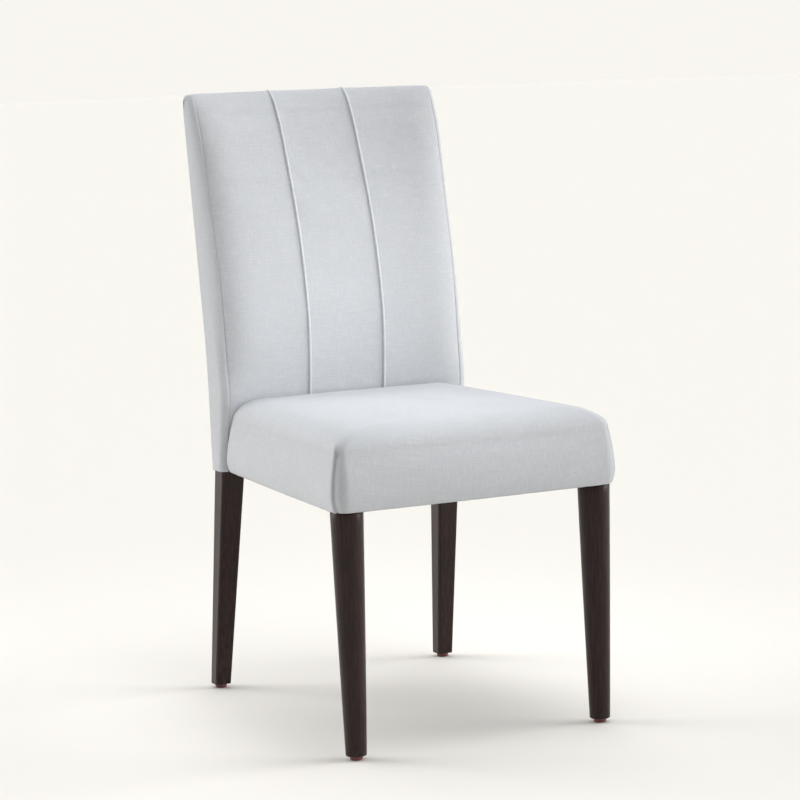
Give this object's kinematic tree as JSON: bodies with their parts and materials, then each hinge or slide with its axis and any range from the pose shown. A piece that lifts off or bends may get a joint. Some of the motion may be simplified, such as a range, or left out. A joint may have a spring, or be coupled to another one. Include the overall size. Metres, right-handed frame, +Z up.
{
  "type": "parsons chair",
  "caption": "Upholstered parsons dining chair with a tall pin-tucked back, a thick boxed seat, turned tapered front legs and kicked rear legs.",
  "frame": {"origin": "on the floor, under the middle of the chair's bounding box", "axes": "+Z up, the seat faces -Y, +X is the sitter's left; the chair is mirror-symmetric across X = 0"},
  "size_m": [0.4778, 0.6275, 0.992],
  "materials": {
    "stained_wood": "dark espresso stain, satin",
    "raw_wood": "planed, unfinished",
    "linen_cover": "pale ice-grey linen weave",
    "foam": "cut foam",
    "wadding": "soft wadding",
    "webbing": "woven elastic webbing",
    "black_cloth": "black non-woven cloth",
    "steel": "zinc plated",
    "glide_plastic": "matte red-brown plastic"
  },
  "bodies": {
    "root": {"rear_post_left": "stained_wood", "rear_post_right": "stained_wood", "front_leg_left": "stained_wood", "front_leg_right": "stained_wood", "side_rail_left": "raw_wood", "side_rail_right": "raw_wood", "front_corner_block_left": "raw_wood", "front_corner_block_right": "raw_wood", "rear_corner_block_left": "raw_wood", "rear_corner_block_right": "raw_wood", "front_rail_block_screw_left": "steel", "front_rail_block_screw_right": "steel", "front_side_block_screw_left": "steel", "front_side_block_screw_right": "steel", "rear_rail_block_screw_left": "steel", "rear_rail_block_screw_right": "steel", "rear_side_block_screw_left": "steel", "rear_side_block_screw_right": "steel", "leg_bolt_left": "steel", "leg_bolt_right": "steel", "leg_bolt_washer_left": "steel", "leg_bolt_washer_right": "steel", "leg_bolt_nut_left": "steel", "leg_bolt_nut_right": "steel", "back_gusset_left": "linen_cover", "back_gusset_right": "linen_cover", "glide_front_left": "glide_plastic", "glide_front_right": "glide_plastic", "glide_rear_left": "glide_plastic", "glide_rear_right": "glide_plastic", "front_rail": "raw_wood", "rear_rail": "raw_wood", "back_lower_rail": "raw_wood", "back_crest_rail": "raw_wood", "seat_deck_cloth": "black_cloth", "seat_foam": "foam", "seat_cover": "linen_cover", "dust_cover": "black_cloth", "back_foam": "foam", "back_wadding": "wadding", "inside_back_cover": "linen_cover", "outside_back_cover": "linen_cover", "seat_strap_lengthwise_1": "webbing", "seat_strap_lengthwise_2": "webbing", "seat_strap_lengthwise_3": "webbing", "seat_strap_lengthwise_4": "webbing", "seat_strap_crosswise_1": "webbing", "seat_strap_crosswise_2": "webbing", "seat_strap_crosswise_3": "webbing", "seat_strap_crosswise_4": "webbing", "back_strap_upright_1": "webbing", "back_strap_upright_2": "webbing", "back_strap_crosswise_1": "webbing", "back_strap_crosswise_2": "webbing", "back_strap_crosswise_3": "webbing"}
  },
  "joints": []
}
